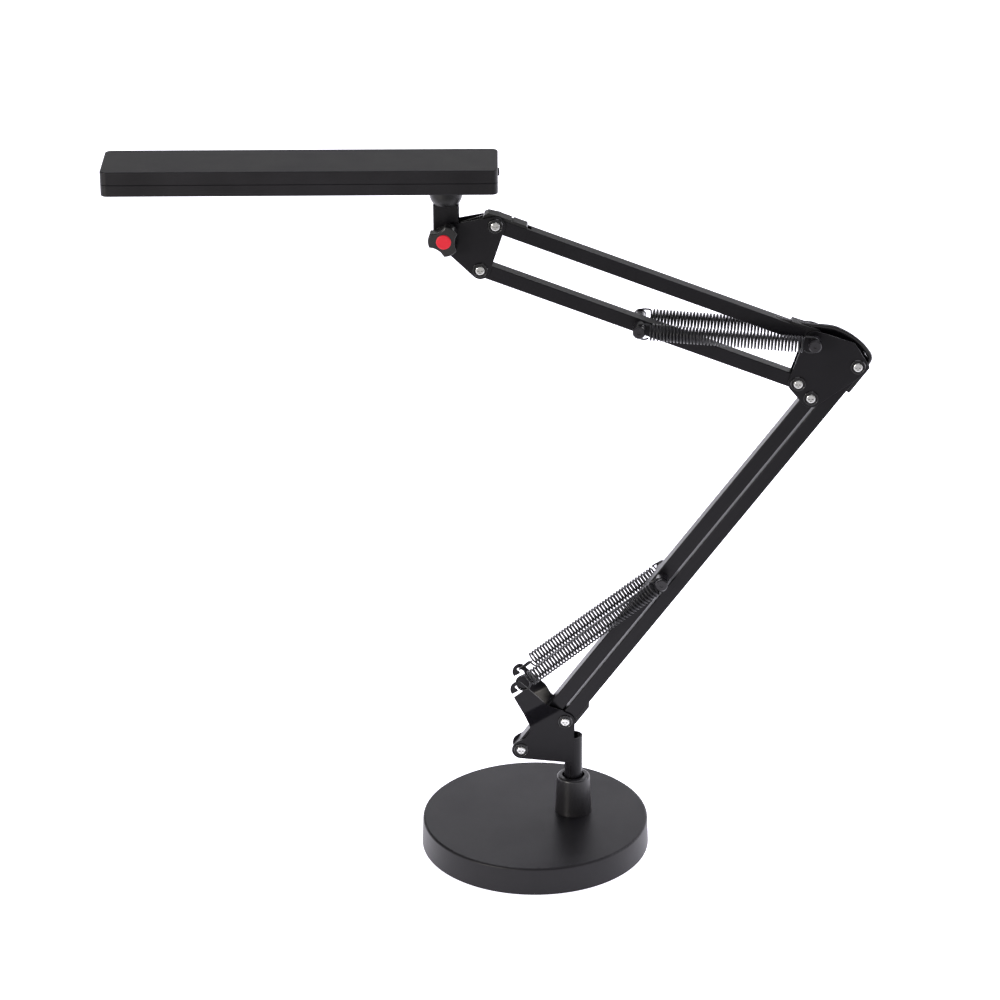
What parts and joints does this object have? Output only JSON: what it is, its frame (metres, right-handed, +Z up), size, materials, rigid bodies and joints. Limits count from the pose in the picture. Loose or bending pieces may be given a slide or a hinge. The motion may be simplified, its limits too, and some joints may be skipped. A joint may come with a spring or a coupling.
{
  "type": "architect lamp",
  "caption": "Black desk lamp on a round weighted base: sprung parallelogram arms of square tube carry a flat bar-shaped LED head on a tilting, turning neck.",
  "frame": {"origin": "where the post's turning axis meets the floor", "axes": "+X along the arms' plane, to the right as seen from the front, +Y away from the front, +Z up"},
  "size_m": [0.646, 0.202, 0.6353],
  "materials": {
    "drum_plastic": "fine grain",
    "weight_iron": "rough",
    "plate_steel": "satin",
    "pad_rubber": "matt",
    "black_steel": "satin powder coat",
    "bright_steel": "bright zinc",
    "spring_steel": "black oxide",
    "black_plastic": "fine grain",
    "nylon": "matt",
    "lead_jacket": "satin",
    "red_plastic": "satin gloss",
    "head_plastic": "fine grain",
    "opal_plastic": "opal",
    "board_aluminium": "white coated",
    "led_plastic": "phosphor"
  },
  "bodies": {
    "base": {"base_cover": "drum_plastic", "base_ballast": "weight_iron", "base_plate": "plate_steel", "foot_pad": "pad_rubber", "base_screws": "bright_steel", "post_socket": "drum_plastic", "post_bushing": "black_plastic"},
    "lower_bracket": {"lower_bracket": "black_steel", "lower_bracket_screws": "bright_steel", "lower_bracket_nuts": "bright_steel", "lower_bracket_cups": "black_plastic", "lower_bracket_washers": "nylon", "lower_spring_near": "spring_steel", "lower_spring_far": "spring_steel"},
    "lower_front_bar": {"lower_front_bar": "black_steel", "lower_bar_foot_clip": "black_plastic", "lower_bar_elbow_clip": "black_plastic", "lower_lead": "lead_jacket"},
    "lower_rear_bar": {"lower_rear_bar": "black_steel", "lower_spring_pin": "black_steel"},
    "elbow": {"elbow_plate_near": "black_steel", "elbow_plate_far": "black_steel", "elbow_screws": "bright_steel", "elbow_nuts": "bright_steel", "elbow_cups": "black_plastic", "elbow_washers": "nylon", "elbow_spring_pin": "black_steel", "upper_spring_near": "spring_steel", "upper_spring_far": "spring_steel", "lead_loop_lower": "lead_jacket", "lead_loop_upper": "lead_jacket"},
    "upper_top_bar": {"upper_top_bar": "black_steel", "upper_bar_elbow_clip": "black_plastic", "upper_bar_head_clip": "black_plastic", "upper_lead": "lead_jacket"},
    "upper_bottom_bar": {"upper_bottom_bar": "black_steel", "upper_spring_pin": "black_steel"},
    "head_bracket": {"head_plate_near": "black_steel", "head_plate_far": "black_steel", "head_bracket_screws": "bright_steel", "head_bracket_nuts": "bright_steel", "head_bracket_cups": "black_plastic", "head_bracket_washers": "nylon", "tilt_bolt": "black_steel", "head_lead": "lead_jacket"},
    "neck": {"neck": "black_steel", "neck_washers": "nylon", "swivel_collar": "black_plastic", "swivel_spindle": "bright_steel", "spindle_nut": "bright_steel"},
    "tilt_knob": {"tilt_knob": "black_plastic", "knob_cap": "red_plastic"},
    "head": {"head_upper_shell": "head_plastic", "head_lower_shell": "head_plastic", "diffuser": "opal_plastic", "led_board": "board_aluminium", "led_chips": "led_plastic", "head_screws": "bright_steel", "switch_body": "black_plastic"},
    "switch_button": {"switch_button": "black_plastic"}
  },
  "joints": [
    {"name": "base_swivel", "type": "hinge", "parent": "base", "child": "lower_bracket", "pos_m": [0, 0, 0], "axis": [0, 0, 1], "continuous": true},
    {"name": "lower_arm_tilt", "type": "hinge", "parent": "lower_bracket", "child": "lower_front_bar", "pos_m": [-0.0071, 0, 0.1169], "axis": [0, 1, 0], "range_deg": [-60, 1.5]},
    {"name": "lower_rear_follow", "type": "hinge", "parent": "lower_bracket", "child": "lower_rear_bar", "pos_m": [-0.04598, 0, 0.08775], "axis": [0, 1, 0], "range_deg": [-60, 1.5], "deforming": ["lower_spring_near", "lower_spring_far"]},
    {"name": "elbow_level", "type": "hinge", "parent": "lower_front_bar", "child": "elbow", "pos_m": [0.23993, 0, 0.45867], "axis": [0, 1, 0], "range_deg": [-1.5, 60], "deforming": ["lead_loop_lower"]},
    {"name": "upper_arm_tilt", "type": "hinge", "parent": "elbow", "child": "upper_top_bar", "pos_m": [0.20303, 0, 0.48177], "axis": [0, 1, 0], "range_deg": [-45, 45], "deforming": ["lead_loop_upper"]},
    {"name": "upper_bottom_follow", "type": "hinge", "parent": "elbow", "child": "upper_bottom_bar", "pos_m": [0.19004, 0, 0.44246], "axis": [0, 1, 0], "range_deg": [-45, 45], "deforming": ["upper_spring_near", "upper_spring_far"]},
    {"name": "head_bracket_level", "type": "hinge", "parent": "upper_top_bar", "child": "head_bracket", "pos_m": [-0.06597, 0, 0.58005], "axis": [0, 1, 0], "range_deg": [-45, 45], "deforming": ["head_lead"]},
    {"name": "head_tilt", "type": "hinge", "parent": "head_bracket", "child": "neck", "pos_m": [-0.10837, 0, 0.57035], "axis": [0, 1, 0], "range_deg": [-90, 15]},
    {"name": "knob_turn", "type": "hinge", "parent": "head_bracket", "child": "tilt_knob", "pos_m": [-0.10837, 0, 0.57035], "axis": [0, -1, 0], "range_deg": [0, 360]},
    {"name": "head_swivel", "type": "hinge", "parent": "neck", "child": "head", "pos_m": [-0.10757, 0, 0.6138], "axis": [0, 0, 1], "range_deg": [-90, 90]},
    {"name": "switch_press", "type": "slide", "parent": "head", "child": "switch_button", "axis": [-0.9983, -0.0581, 0], "range_m": [0, 0.001], "stiffness_N_per_m": 600}
  ],
  "couplings": [
    {"joint": "lower_rear_follow", "follows": "lower_arm_tilt", "ratio": 1},
    {"joint": "elbow_level", "follows": "lower_arm_tilt", "ratio": -1},
    {"joint": "upper_bottom_follow", "follows": "upper_arm_tilt", "ratio": 1},
    {"joint": "head_bracket_level", "follows": "upper_arm_tilt", "ratio": -1}
  ]
}
